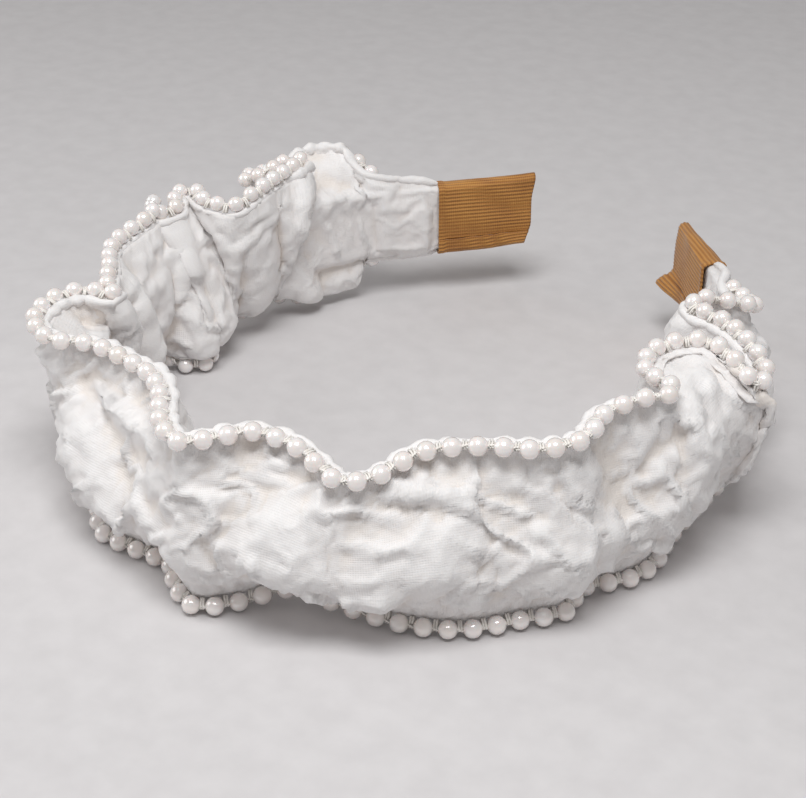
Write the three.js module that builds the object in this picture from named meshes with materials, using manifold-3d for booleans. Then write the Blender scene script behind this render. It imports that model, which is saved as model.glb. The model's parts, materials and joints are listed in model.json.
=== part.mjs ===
// A ruffled fabric headband. A springy plastic band runs inside a gathered cotton casing; beads are
// sewn along both rolled hems of the casing, and a grosgrain ribbon wraps each end of the band.
// Millimetres, +Z up. It stands on its lower beads, with the crown towards -Y and the ends towards +Y.
// Places on the band are given as [along, out, up]: along the band from the middle of the crown
// (plus is the right arm), outwards from its centre line, and up from the surface it stands on.
import * as THREE from "three";
import { mergeVertices } from "three/addons/utils/BufferGeometryUtils.js";
import Module from "manifold-3d";

const wasm = await Module();
wasm.setup();
const { degToRad, lerp, smoothstep } = THREE.MathUtils;

// ---- Driving dimensions ----

const bandLength = 420; // along the curve, from one ribbon tip to the other
const tipTurn = degToRad(140); // how far the band has turned at each tip
const crownShare = 1.3; // over 1 the crown is the round part and the arms are straighter
const bandCentre = 21.5; // height of the band's centre line
const gap = 0.3; // clearance between pieces that touch
const beadClearance = 0.6; // from a bead to the hem's flat side, for the thread that couches it
const cutMargin = degToRad(0.6); // spare angle on each side of the cut at the hinge

const coreThickness = 1.6;
const coreCrownHeight = 20;
const coreTaper = 0.75; // height at the ends, as a share of the height at the crown
const coreTipHeight = coreTaper * coreCrownHeight;
const coreEndSetback = 5; // how far the plastic stops inside the ribbon tip
const coreEndFlat = 0.2; // share of the round end's height that is cut flat

const clothThickness = 0.8; // one layer of casing, crinkles included
const outerBelly = 8; // how far the outer panel stands off the centre line
const innerBelly = 4; // the same for the lining
const edgeRise = 1.5; // how far the panels pass the core's upper and lower edges
const frillThickness = 1.4; // both layers rolled together
const gatherReach = 12; // hem length over which a ruffle evens out in the calm part of the casing

const beadDiameter = 4;
const beadPitch = 4.9;
const threadDiameter = 0.6;
const beadsPerLength = 12; // beads on one needle length of thread, about

const ribbonWidth = 25; // along the band
const ribbonRoom = 0.8; // above and below the casing's edges, inside the ribbon's folds
const ribbonThickness = 0.6;
const ribbonSpare = 0.5; // the ribbon is straight where the band still curves a little
const foldShare = 0.5; // how round the ribbon's folded edges are, as a share of its half thickness
const collarLength = 18; // plain gathered casing between the ribbon and the start of the hem
const collarOverlap = 1; // how far the bead lines run into the collar
const collarBlend = 14; // length over which the casing swells out of the collar
const tuckLength = 3; // casing that runs on under the ribbon

const spreadAngle = degToRad(20); // the right arm opens this far from rest
const closeAngle = degToRad(6); // and closes this far

// Ruffle of the two bead lines: [along, out, past, roll]. Along is in mm from the middle of the crown
// on a band whose bead lines end at ruffleReach, and stretches with a longer one. Out is in mm from the
// centre line, and past in mm past the core's edge at the crown. Roll is the angle in degrees at which
// the beads sit on the hem: 0 on its outer side, 90 on top of it, -90 underneath.
const ruffleReach = 168;
const upperBeadLine = [
  [-168, 3, 4.5, 20],
  [-164, 10, 7.5, 10],
  [-157, 15, 6.5, 0],
  [-148, 13, 5.5, 0],
  [-140, 12, 5.5, 10],
  [-136, 7, 6.5, 30],
  [-140, 3, 9.5, 60],
  [-146, 6, 9.5, 70],
  [-149, 3, 10.5, 70],
  [-143, -1, 10.5, 70],
  [-130, -7, 10.5, 60],
  [-121, -7, 8.5, 50],
  [-119, 1, 8.5, 40],
  [-121, 7, 8.5, 30],
  [-117, 9, 8.5, 30],
  [-111, 3, 8.5, 40],
  [-106, 5, 8.5, 40],
  [-110, 9, 9.5, 60],
  [-104, 4, 9.5, 60],
  [-88, 4, 8.5, 50],
  [-77, 0, 8.5, 40],
  [-68, -2, 8.5, 40],
  [-63, -4, 8.5, 30],
  [-65, 2, 8.5, 20],
  [-62, 8, 8.5, 20],
  [-53, 12, 8.5, 20],
  [-44, 9, 8.5, 15],
  [-40, 2, 8.5, 15],
  [-34, -2, 8.5, 15],
  [-21, -5, 8.5, 10],
  [-12, -2, 8.5, 10],
  [-5, 4, 8.5, 10],
  [3, 8, 8.5, 10],
  [8, 3, 8.5, 10],
  [13, -2, 8.5, 10],
  [23, -1, 7.5, 10],
  [32, 4, 4.5, 10],
  [38, 2, 4.5, 10],
  [47, -2, 7.5, 10],
  [58, -1, 8.5, 10],
  [70, 4, 8.5, 10],
  [77, 5, 9.5, 10],
  [84, 1, 10.5, 20],
  [92, 2, 11.5, 30],
  [99, 5, 11.5, 50],
  [101, 1, 11.5, 80],
  [103, -5, 10.5, 110],
  [111, -9, 10.5, 130],
  [119, -7, 10.5, 130],
  [123, -1, 10.5, 130],
  [121, 5, 9.5, 110],
  [118, 12, 6.5, 70],
  [123, 12, 6.5, 40],
  [131, 5, 8.5, 40],
  [138, -2, 8.5, 40],
  [142, -8, 8.5, 40],
  [147, -8, 8.5, 40],
  [149, -2, 7.5, 40],
  [152, 4, 5.5, 30],
  [159, 4, 2.5, 0],
  [168, 1, 1.5, 0],
];
const lowerBeadLine = [
  [-168, 3, 1.5, -30],
  [-161, 6, 6.5, -40],
  [-150, 3, 8.5, -50],
  [-138, 7, 7.5, -30],
  [-130, 3, 7.5, -30],
  [-120, 4, 8.5, -40],
  [-114, -3, 9.5, -60],
  [-108, -8, 9.5, -70],
  [-103, -4, 9.5, -70],
  [-102, 3, 8.5, -50],
  [-95, 8, 7.5, -30],
  [-85, 4, 7.5, -20],
  [-72, 8, 7.5, -20],
  [-60, 7, 7.5, -20],
  [-48, 3, 8.5, -30],
  [-36, 4, 9.5, -30],
  [-27, 6, 9.5, -30],
  [-18, 3, 9.5, -30],
  [-9, 1, 9.5, -30],
  [-3, 5, 9.5, -30],
  [4, 8, 9.5, -30],
  [11, 2, 9.5, -40],
  [19, -3, 7.5, -50],
  [30, -2, 8.5, -50],
  [43, 2, 9.5, -40],
  [54, 5, 9.5, -30],
  [66, 5, 9.5, -30],
  [74, 6, 9.5, -30],
  [81, 1, 9.5, -30],
  [91, 4, 9.5, -30],
  [98, 4, 9.5, -30],
  [107, 1, 9.5, -40],
  [121, 1, 8.5, -40],
  [136, 4, 7.5, -30],
  [147, 6, 6.5, -20],
  [158, 8, 5.5, -20],
  [168, 3, 1.5, -30],
];

// ---- Fineness of the curved surfaces ----

const curveSteps = 60; // steps of the sum along the centre line
const coreStations = 16; // on each side of the crown
const coreEndStations = [0.5, 0.85, 1]; // on the round end, as shares of its radius
const panelStations = 44;
const panelLevels = [1, 0.8, 0.3, -0.3, -0.8, -1]; // heights across a panel, 1 and -1 at its edges
const samplesPerPoint = 6;
const beadSides = 5;
const threadSides = 3;

// ---- The band's centre line ----

function heading(along) {
  const share = along / (bandLength / 2);
  return tipTurn * (crownShare * share + (1 - crownShare) * share ** 3);
}

function centreLine(along) {
  const step = along / curveSteps;
  const point = new THREE.Vector2();
  for (let i = 0; i < curveSteps; i++) {
    const turned = heading((i + 0.5) * step);
    point.x += Math.cos(turned) * step;
    point.y += Math.sin(turned) * step;
  }
  return point;
}

function place(along, out, up) {
  const centre = centreLine(along);
  const turned = heading(along);
  return new THREE.Vector3(centre.x + out * Math.sin(turned), centre.y - out * Math.cos(turned), up);
}

// ---- Solids ----

// A closed solid through rings of equal point counts. Each ring runs down one face and back up the
// other, so its two ends are closed by strips between facing points.
function loft(rings) {
  const count = rings[0].length;
  const index = [];
  const at = (ring, point) => ring * count + (point % count);
  for (let ring = 0; ring + 1 < rings.length; ring++) {
    for (let point = 0; point < count; point++) {
      index.push(at(ring, point), at(ring + 1, point + 1), at(ring + 1, point));
      index.push(at(ring, point), at(ring, point + 1), at(ring + 1, point + 1));
    }
  }
  const last = rings.length - 1;
  for (let point = 0; point < count / 2 - 1; point++) {
    const facing = count - 1 - point;
    index.push(at(0, point), at(0, facing - 1), at(0, point + 1));
    index.push(at(0, point), at(0, facing), at(0, facing - 1));
    index.push(at(last, point), at(last, point + 1), at(last, facing - 1));
    index.push(at(last, point), at(last, facing - 1), at(last, facing));
  }
  return new THREE.BufferGeometry().setFromPoints(rings.flat()).setIndex(index);
}

function solid(geometry) {
  const bare = geometry.clone();
  bare.deleteAttribute("normal");
  bare.deleteAttribute("uv");
  const merged = mergeVertices(bare, 1e-4);
  return new wasm.Manifold(
    new wasm.Mesh({
      numProp: 3,
      vertProperties: new Float32Array(merged.attributes.position.array),
      triVerts: new Uint32Array(merged.index.array),
    }),
  );
}

function geometryOf(made) {
  const mesh = made.getMesh();
  const geometry = new THREE.BufferGeometry();
  geometry.setAttribute("position", new THREE.BufferAttribute(mesh.vertProperties, 3));
  geometry.setIndex(new THREE.BufferAttribute(mesh.triVerts, 1));
  geometry.computeVertexNormals();
  return geometry;
}

const headband = new THREE.Group();

function addPiece(name, geometry, material) {
  const mesh = new THREE.Mesh(geometry, material);
  mesh.name = name;
  headband.add(mesh);
}

const plastic = () => new THREE.MeshStandardMaterial({ color: 0xe9e4d8, roughness: 0.45 });
const cotton = () => new THREE.MeshStandardMaterial({ color: 0xf4ece9, roughness: 0.85 });
const pearl = () => new THREE.MeshStandardMaterial({ color: 0xf3e6e2, roughness: 0.22, metalness: 0.1 });
const grosgrain = () => new THREE.MeshStandardMaterial({ color: 0xb07a2e, roughness: 0.8 });

// ---- The cut at the crown ----
// The band springs about an upright line through the middle of the crown. The halves are cut apart
// by a double wedge on that line, wide enough outside for the arms to spread and inside to close.

const outsideHalfAngle = spreadAngle / 2 + cutMargin;
const insideHalfAngle = closeAngle / 2 + cutMargin;
const wedgeReach = 40;
const wedgeHeight = 80;

function hingeWedge() {
  const half = gap / 2;
  const outer = half + wedgeReach * Math.tan(outsideHalfAngle);
  const inner = half + wedgeReach * Math.tan(insideHalfAngle);
  const outline = new THREE.Shape([
    new THREE.Vector2(-outer, -wedgeReach),
    new THREE.Vector2(outer, -wedgeReach),
    new THREE.Vector2(half, 0),
    new THREE.Vector2(inner, wedgeReach),
    new THREE.Vector2(-inner, wedgeReach),
    new THREE.Vector2(-half, 0),
  ]);
  const wedge = new THREE.ExtrudeGeometry(outline, { depth: wedgeHeight, bevelEnabled: false });
  return solid(wedge.translate(0, 0, -wedgeHeight / 4));
}

// Each half is the largest body on its side. A cutter may leave slivers, which are dropped.
function addHalves(name, made, material) {
  const bodies = made.subtract(hingeWedge()).decompose();
  bodies.sort((a, b) => b.volume() - a.volume());
  for (const [side, sign] of [["left", -1], ["right", 1]]) {
    const body = bodies.find((candidate) => {
      const bounds = candidate.boundingBox();
      return (bounds.min[0] + bounds.max[0]) * sign > 0;
    });
    addPiece(name + "_" + side, geometryOf(body), material());
  }
}

// ---- Plastic core ----

const coreEnd = bandLength / 2 - coreEndSetback;
const coreEndRadius = coreTipHeight / 2;
const coreRoundFrom = coreEnd - coreEndRadius;

function coreHalfHeight(along) {
  const share = Math.abs(along) / coreEnd;
  const half = lerp(coreCrownHeight, coreTipHeight, share ** 2) / 2;
  const past = Math.max(0, Math.abs(along) - coreRoundFrom) / coreEndRadius;
  return half * Math.sqrt(Math.max(1 - past ** 2, coreEndFlat ** 2));
}

function addCore() {
  const stations = [];
  for (let i = -coreStations; i <= coreStations; i++) {
    stations.push((i / coreStations) * coreRoundFrom);
  }
  for (const share of coreEndStations) {
    stations.push(coreRoundFrom + share * coreEndRadius);
    stations.unshift(-coreRoundFrom - share * coreEndRadius);
  }
  const out = coreThickness / 2;
  const rings = stations.map((along) => {
    const half = coreHalfHeight(along);
    const top = bandCentre + half;
    const bottom = bandCentre - half;
    return [
      place(along, out, top),
      place(along, out, bottom),
      place(along, -out, bottom),
      place(along, -out, top),
    ];
  });
  addHalves("core_band", solid(loft(rings)), plastic);
}

// ---- Calm part of the casing: outer panel and lining ----

const ribbonStart = bandLength / 2 - ribbonWidth;
const casingEnd = ribbonStart + tuckLength;
const collarStart = ribbonStart - collarLength;
const tuckOut = coreThickness / 2 + gap + clothThickness / 2;

// 1 where the casing is full, 0 in the collar and under the ribbon
function fullness(along) {
  return 1 - smoothstep(Math.abs(along), collarStart - collarBlend, collarStart);
}

function edgeHalfHeight(along) {
  return coreHalfHeight(along) + lerp(gap + clothThickness / 2, edgeRise, fullness(along));
}

function addPanel(name, side, belly) {
  const rings = [];
  for (let i = 0; i <= panelStations; i++) {
    const along = lerp(-casingEnd, casingEnd, i / panelStations);
    const swell = lerp(tuckOut, belly, fullness(along));
    const face = (offset) =>
      panelLevels.map((level) => {
        const out = tuckOut + (swell - tuckOut) * Math.sqrt(1 - level ** 2);
        return place(along, side * (out + offset), bandCentre + level * edgeHalfHeight(along));
      });
    const far = face(clothThickness / 2);
    const near = face(-clothThickness / 2);
    rings.push(side > 0 ? [...far, ...near.reverse()] : [...near, ...far.reverse()]);
  }
  addHalves(name, solid(loft(rings)), cotton);
}

// ---- Bead lines and the ruffled frills they are sewn to ----

const beadStandOff = frillThickness / 2 + beadClearance + beadDiameter / 2;
const beadLineEnd = collarStart + collarOverlap;

// Samples of a bead line, each with the outward normal of the hem and the place of the hem's edge.
function hemSamples(points, side) {
  const coreEdge = coreCrownHeight / 2;
  const path = new THREE.CatmullRomCurve3(
    points.map(([along, out, past]) => {
      const up = bandCentre + side * (coreEdge + past);
      return new THREE.Vector3((along / ruffleReach) * beadLineEnd, out, up);
    }),
    false,
    "centripetal",
  );
  const spans = points.length - 1;
  const samples = [];
  for (let i = 0; i <= spans * samplesPerPoint; i++) {
    const at = i / samplesPerPoint;
    const first = Math.min(Math.floor(at), spans - 1);
    const [along, out, up] = path.getPoint(at / spans).toArray();
    const roll = degToRad(lerp(points[first][3], points[first + 1][3], at - first));
    samples.push({ along, roll, bead: place(along, out, up) });
  }
  samples.forEach((sample, i) => {
    const before = samples[Math.max(i - 1, 0)].bead;
    const after = samples[Math.min(i + 1, samples.length - 1)].bead;
    sample.normal = new THREE.Vector3(after.y - before.y, before.x - after.x, 0).normalize();
    const stand = sample.normal.clone().multiplyScalar(Math.cos(sample.roll));
    stand.z = Math.sin(sample.roll);
    sample.edge = sample.bead.clone().addScaledVector(stand, -beadStandOff);
    sample.length = i ? samples[i - 1].length + sample.bead.distanceTo(before) : 0;
  });
  return samples;
}

// Where each sample's gather comes down to on the calm casing: its place along, evened out.
function gatherFoot(samples, sample) {
  const near = samples.filter((other) => Math.abs(other.length - sample.length) < gatherReach);
  return near.reduce((sum, other) => sum + other.along, 0) / near.length;
}

function levelNormal(points, i) {
  const before = points[Math.max(i - 1, 0)];
  const after = points[Math.min(i + 1, points.length - 1)];
  return new THREE.Vector3(after.y - before.y, before.x - after.x, 0).normalize();
}

function addFrill(name, samples, side) {
  const kept = samples.filter((sample, i) => i % 2 === 0);
  const feet = kept.map((sample) => {
    const along = gatherFoot(samples, sample);
    return place(along, 0, bandCentre + side * (edgeHalfHeight(along) + clothThickness / 2 + gap));
  });
  const levels = [0, 0.5, 1].map((level) =>
    kept.map((sample, i) => feet[i].clone().lerp(sample.edge, level)),
  );
  const rings = kept.map((sample, i) => {
    const faces = [1, -1].map((face) =>
      levels.map((points) =>
        points[i].clone().addScaledVector(levelNormal(points, i), (face * frillThickness) / 2),
      ),
    );
    return side > 0
      ? [...faces[0].reverse(), ...faces[1]]
      : [...faces[0], ...faces[1].reverse()];
  });
  // where a fold comes close to the beads of the next fold, it makes room for them
  const beads = beadPlaces(samples).map((bead) => beadSolid(bead, beadDiameter / 2 + gap));
  addHalves(name, solid(loft(rings)).subtract(wasm.Manifold.union(beads)), cotton);
}

function beadPlaces(samples) {
  const total = samples[samples.length - 1].length;
  const count = Math.round(total / beadPitch);
  const places = [];
  for (let i = 0; i <= count; i++) {
    const wanted = (total * i) / count;
    const next = Math.max(1, samples.findIndex((sample) => sample.length >= wanted - 1e-6));
    const from = samples[next - 1];
    const to = samples[next];
    const share = (wanted - from.length) / (to.length - from.length);
    places.push(from.bead.clone().lerp(to.bead, share));
  }
  return places;
}

// A bead that would reach into the hinge wedge is left out of both halves.
function clearOfWedge(bead) {
  const angle = bead.y < 0 ? outsideHalfAngle : insideHalfAngle;
  const toWedge = (Math.abs(bead.x) - gap / 2) * Math.cos(angle) - Math.abs(bead.y) * Math.sin(angle);
  return toWedge > beadDiameter / 2 + gap / 2;
}

function beadSolid(centre, radius) {
  const profile = [
    new THREE.Vector2(0, -radius),
    new THREE.Vector2(radius, -radius / 3),
    new THREE.Vector2(radius, radius / 3),
    new THREE.Vector2(0, radius),
  ];
  const shape = new THREE.LatheGeometry(profile, beadSides, Math.PI); // one corner points down
  return solid(shape.translate(...centre.toArray()));
}

function strand(beads) {
  const route = new THREE.CatmullRomCurve3(beads, false, "centripetal");
  const section = new THREE.Shape(
    Array.from({ length: threadSides }, (_, corner) => {
      const turned = (corner * 2 * Math.PI) / threadSides;
      return new THREE.Vector2(Math.cos(turned), Math.sin(turned)).multiplyScalar(threadDiameter / 2);
    }),
  );
  const thread = new THREE.ExtrudeGeometry(section, {
    extrudePath: route,
    steps: beads.length - 1,
    bevelEnabled: false,
  });
  const solids = beads.map((bead) => beadSolid(bead, beadDiameter / 2));
  return geometryOf(wasm.Manifold.union([solid(thread), ...solids]));
}

function addStrands(name, samples) {
  const beads = beadPlaces(samples).filter(clearOfWedge);
  for (const [side, sign] of [["left", -1], ["right", 1]]) {
    const own = beads.filter((bead) => bead.x * sign > 0);
    const lengths = Math.round(own.length / beadsPerLength);
    for (let i = 0; i < lengths; i++) {
      const from = Math.round((own.length * i) / lengths);
      const to = Math.round((own.length * (i + 1)) / lengths);
      addPiece(name + "_" + side + "_" + (i + 1), strand(own.slice(from, to)), pearl());
    }
  }
}

// ---- Ribbon wrapped round each end ----

function ribbonSection(side, along, halfThick, halfHigh) {
  const corner = halfThick * foldShare;
  const outline = [
    [halfThick, halfHigh - corner],
    [halfThick, corner - halfHigh],
    [halfThick - corner, -halfHigh],
    [corner - halfThick, -halfHigh],
    [-halfThick, corner - halfHigh],
    [-halfThick, halfHigh - corner],
    [corner - halfThick, halfHigh],
    [halfThick - corner, halfHigh],
  ];
  const end = place(side * ribbonStart, 0, bandCentre);
  const direction = place(side * (bandLength / 2), 0, bandCentre).sub(end).normalize();
  const outward = new THREE.Vector3(direction.y, -direction.x, 0).multiplyScalar(side);
  return outline.map(([out, up]) =>
    end
      .clone()
      .addScaledVector(direction, along - ribbonStart)
      .addScaledVector(outward, out)
      .add(new THREE.Vector3(0, 0, up)),
  );
}

function addRibbon(name, side) {
  const tuckHalf = tuckOut + clothThickness / 2 + gap + ribbonSpare;
  const tipHalf = coreThickness / 2 + gap + ribbonSpare;
  const insideHigh = edgeHalfHeight(ribbonStart) + ribbonRoom;
  const stations = [
    [ribbonStart, tuckHalf],
    [casingEnd + ribbonSpare, tuckHalf],
    [bandLength / 2, tipHalf],
  ];
  const shell = (wall, overrun) => {
    const rings = stations.map(([along, half], i) => {
      const shift = [-overrun, 0, overrun][i];
      return ribbonSection(side, along + shift, half + wall, insideHigh + wall);
    });
    if (side < 0) rings.reverse();
    return solid(loft(rings));
  };
  const sleeve = shell(ribbonThickness, 0).subtract(shell(0, 1));
  addPiece(name, geometryOf(sleeve), grosgrain());
}

// ---- Assembly ----

addCore();
addPanel("outer_panel", 1, outerBelly);
addPanel("lining_panel", -1, innerBelly);
const upperHem = hemSamples(upperBeadLine, 1);
const lowerHem = hemSamples(lowerBeadLine, -1);
addFrill("upper_frill", upperHem, 1);
addFrill("lower_frill", lowerHem, -1);
addStrands("upper_beads", upperHem);
addStrands("lower_beads", lowerHem);
addRibbon("ribbon_left", -1);
addRibbon("ribbon_right", 1);

// The origin is under the middle of the whole headband, on the surface that it stands on.
const bounds = new THREE.Box3().setFromObject(headband, true);
headband.position.set(
  -(bounds.min.x + bounds.max.x) / 2,
  -(bounds.min.y + bounds.max.y) / 2,
  -bounds.min.z,
);

export default headband;
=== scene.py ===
import json
import math

import bmesh
import bpy
import numpy as np
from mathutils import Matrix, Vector, noise


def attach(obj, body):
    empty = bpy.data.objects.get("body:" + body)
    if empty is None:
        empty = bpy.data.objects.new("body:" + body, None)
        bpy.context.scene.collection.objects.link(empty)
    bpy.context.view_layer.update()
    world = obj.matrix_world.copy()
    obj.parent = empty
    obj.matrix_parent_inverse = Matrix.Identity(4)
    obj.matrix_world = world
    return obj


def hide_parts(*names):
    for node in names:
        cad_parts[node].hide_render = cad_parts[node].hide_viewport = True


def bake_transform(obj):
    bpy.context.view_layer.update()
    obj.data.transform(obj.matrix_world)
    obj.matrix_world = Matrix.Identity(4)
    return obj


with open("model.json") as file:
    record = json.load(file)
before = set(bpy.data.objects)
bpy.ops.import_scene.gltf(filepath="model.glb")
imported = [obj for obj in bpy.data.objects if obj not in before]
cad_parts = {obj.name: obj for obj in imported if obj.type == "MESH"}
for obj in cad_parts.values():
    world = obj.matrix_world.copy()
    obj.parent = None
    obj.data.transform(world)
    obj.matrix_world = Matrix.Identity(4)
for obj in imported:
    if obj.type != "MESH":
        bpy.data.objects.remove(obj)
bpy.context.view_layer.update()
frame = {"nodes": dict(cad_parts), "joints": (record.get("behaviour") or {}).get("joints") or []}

# ---------------------------------------------------------------------------------------------
# Camera: a long lens a little above the table, in front of the right arm and aimed inside the band.
# All places are told from the middle of the crown, where the two halves of the band meet.
crown = Vector(frame["joints"][0]["pos_m"])
camera_data = bpy.data.cameras.new("camera")
camera_data.sensor_width = 36
camera_data.lens = 79.3
camera_data.clip_start = 0.01
camera_data.clip_end = 20
camera = bpy.data.objects.new("camera", camera_data)
bpy.context.scene.collection.objects.link(camera)
camera.location = crown + Vector((0.2077, -0.2140, 0.1935))
aim = crown + Vector((0.0077, 0.0582, -0.0015))
camera.rotation_mode = "QUATERNION"
camera.rotation_quaternion = (aim - camera.location).to_track_quat("-Z", "Y")
bpy.context.scene.camera = camera


# ---------------------------------------------------------------------------------------------
# Table and light: a matt pale table top that runs on past the view, one soft light overhead and
# a little in front of the band, a weaker one on its left, and a bright even room.
class Socket:
    """A socket in a material. Sums on it become Math nodes, and node() adds any other node."""

    def __init__(self, tree, socket=None):
        self.tree = tree
        self.socket = socket

    def node(self, kind, settings, values, output=0):
        made = self.tree.nodes.new(kind)
        for name, setting in settings.items():
            if name == "stops":
                ramp = made.color_ramp
                for stop, (place, colour) in enumerate(setting):
                    element = ramp.elements[stop] if stop < 2 else ramp.elements.new(place)
                    element.position = place
                    element.color = (*colour, 1)
            else:
                setattr(made, name, setting)
        for name, value in values.items():
            if isinstance(value, Socket):
                self.tree.links.new(value.socket, made.inputs[name])
            else:
                made.inputs[name].default_value = value
        return Socket(self.tree, made.outputs[output])

    def sum_with(self, operation, first, second):
        return self.node("ShaderNodeMath", {"operation": operation}, {0: first, 1: second})

    def __add__(self, other):
        return self.sum_with("ADD", self, other)

    def __radd__(self, other):
        return self.sum_with("ADD", other, self)

    def __mul__(self, other):
        return self.sum_with("MULTIPLY", self, other)

    def __rmul__(self, other):
        return self.sum_with("MULTIPLY", other, self)


def new_finish(name, constants):
    """A material, the start of its shader sums, and its surface shader with the constants set."""
    material = bpy.data.materials.new(name)
    material.use_nodes = True
    shader = material.node_tree.nodes["Principled BSDF"]
    for socket, value in constants.items():
        shader.inputs[socket].default_value = value
    return material, Socket(material.node_tree), shader


def feed(shader, socket, value):
    value.tree.links.new(value.socket, shader.inputs[socket])


table_finish, shade, shader = new_finish("table_top", {"Roughness": 0.75})
speckle = shade.node("ShaderNodeTexNoise", {}, {"Scale": 900.0, "Detail": 3.0})
paper = shade.node(
    "ShaderNodeValToRGB",
    {"stops": [(0.3, (0.60, 0.585, 0.59)), (0.7, (0.64, 0.625, 0.63))]},
    {"Fac": speckle},
)
feed(shader, "Base Color", paper)
bpy.ops.object.select_all(action="DESELECT")
bpy.ops.mesh.primitive_plane_add(size=6, location=(0, 0, 0))
table_top = bpy.context.object
table_top.name = "table_top"
table_top.data.materials.append(table_finish)


def soft_light(name, place, towards, size, watts):
    lamp = bpy.data.lights.new(name, "AREA")
    lamp.shape = "RECTANGLE"
    lamp.size, lamp.size_y = size
    lamp.energy = watts
    light = bpy.data.objects.new(name, lamp)
    bpy.context.scene.collection.objects.link(light)
    light.location = place
    light.rotation_mode = "QUATERNION"
    light.rotation_quaternion = (towards - light.location).to_track_quat("-Z", "Y")


middle = crown + Vector((0, 0.08, 0))
soft_light("top_light", middle + Vector((0.12, -0.19, 0.58)), middle, (0.34, 0.26), 2.9)
soft_light("side_light", middle + Vector((-0.55, -0.35, 0.32)), middle, (0.5, 0.4), 1.1)
room = bpy.data.worlds.new("room")
room.use_nodes = True
room.node_tree.nodes["Background"].inputs["Color"].default_value = (1.0, 0.98, 0.97, 1)
room.node_tree.nodes["Background"].inputs["Strength"].default_value = 0.32
bpy.context.scene.world = room
bpy.context.scene.view_settings.view_transform = "Standard"

# ---------------------------------------------------------------------------------------------
# Plastic band: one springy moulded strip with round ends, inside the casing and never seen.
# It is a flat bar, tapered to its ends, that follows the band's line. Millimetres along the band.
BAND_LENGTH = 420
TIP_TURN = math.radians(140)
CROWN_SHARE = 1.3
CENTRE_HEIGHT = 21.5
CORE_THICKNESS = 1.6
CORE_CROWN_HEIGHT = 20
CORE_TIP_HEIGHT = 15
CORE_SETBACK = 5
MM = 0.001


def heading(along):
    share = along / (BAND_LENGTH / 2)
    return TIP_TURN * (CROWN_SHARE * share + (1 - CROWN_SHARE) * share**3)


line_along = np.arange(-BAND_LENGTH / 2 - 15, BAND_LENGTH / 2 + 15.1, 0.25)
line_turn = heading((line_along[1:] + line_along[:-1]) / 2)
line_x = np.concatenate([[0], np.cumsum(np.cos(line_turn) * 0.25)])
line_y = np.concatenate([[0], np.cumsum(np.sin(line_turn) * 0.25)])
line_x -= np.interp(0, line_along, line_x)
line_y -= np.interp(0, line_along, line_y)


def on_band(along, out, up):
    """Points at these distances in millimetres along the band, out from its line and up."""
    turned = heading(along)
    x = np.interp(along, line_along, line_x) + out * np.sin(turned)
    y = np.interp(along, line_along, line_y) - out * np.cos(turned)
    return np.stack([x, y, up - CENTRE_HEIGHT + 0 * x], axis=-1)


def in_frame(points):
    return np.asarray(points) * MM + np.array(crown)


def core_half_height(along):
    share = np.abs(along) / (BAND_LENGTH / 2 - CORE_SETBACK)
    return (CORE_CROWN_HEIGHT + (CORE_TIP_HEIGHT - CORE_CROWN_HEIGHT) * share**2) / 2


bend_line = bpy.data.curves.new("bend_line", "CURVE")
bend_line.dimensions = "3D"
bend_line.twist_mode = "Z_UP"
strip = bend_line.splines.new("POLY")
strip_places = np.arange(-BAND_LENGTH / 2, BAND_LENGTH / 2 + 0.1, 3.0)
strip.points.add(len(strip_places) - 1)
for spot, place in zip(strip.points, in_frame(on_band(strip_places, 0, CENTRE_HEIGHT))):
    spot.co = (*place, 1)
bend_object = bpy.data.objects.new("bend_line", bend_line)
bpy.context.scene.collection.objects.link(bend_object)

bpy.ops.object.select_all(action="DESELECT")
bpy.ops.mesh.primitive_cube_add(size=1, location=(BAND_LENGTH / 2 * MM, 0, 0))
core = bpy.context.object
core.name = "plastic_band"
core.dimensions = (
    (BAND_LENGTH - 2 * CORE_SETBACK) * MM,
    CORE_THICKNESS * MM,
    CORE_CROWN_HEIGHT * MM,
)
bpy.ops.object.transform_apply(location=True, rotation=True, scale=True)
core_mesh = bmesh.new()
core_mesh.from_mesh(core.data)
long_edges = [e for e in core_mesh.edges if abs((e.verts[0].co - e.verts[1].co).x) > 0.1]
bmesh.ops.subdivide_edges(core_mesh, edges=long_edges, cuts=80, use_grid_fill=True)
for corner in core_mesh.verts:
    along = corner.co.x / MM - BAND_LENGTH / 2
    to_end = BAND_LENGTH / 2 - CORE_SETBACK - abs(along)
    past = max(0, CORE_TIP_HEIGHT / 2 - to_end) / (CORE_TIP_HEIGHT / 2)
    narrow = core_half_height(along) * math.sqrt(max(1 - past**2, 0.04))
    corner.co.z *= narrow / (CORE_CROWN_HEIGHT / 2)
core_mesh.to_mesh(core.data)
core_mesh.free()
bend = core.modifiers.new("bend", "CURVE")
bend.object = bend_object
bend.deform_axis = "POS_X"
rounding = core.modifiers.new("rounding", "BEVEL")
rounding.width = 0.0005
rounding.segments = 2
bpy.ops.object.modifier_apply(modifier="bend")
bpy.ops.object.modifier_apply(modifier="rounding")
bpy.data.objects.remove(bend_object)

core_finish, shade, shader = new_finish(
    "moulded_plastic", {"Base Color": (0.82, 0.79, 0.72, 1), "Roughness": 0.45}
)
grain = shade.node("ShaderNodeTexNoise", {}, {"Scale": 2500.0})
feed(shader, "Normal", shade.node("ShaderNodeBump", {}, {"Strength": 0.1, "Height": grain}))
core.data.materials.append(core_finish)
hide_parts("core_band_left", "core_band_right")
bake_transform(core)

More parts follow.
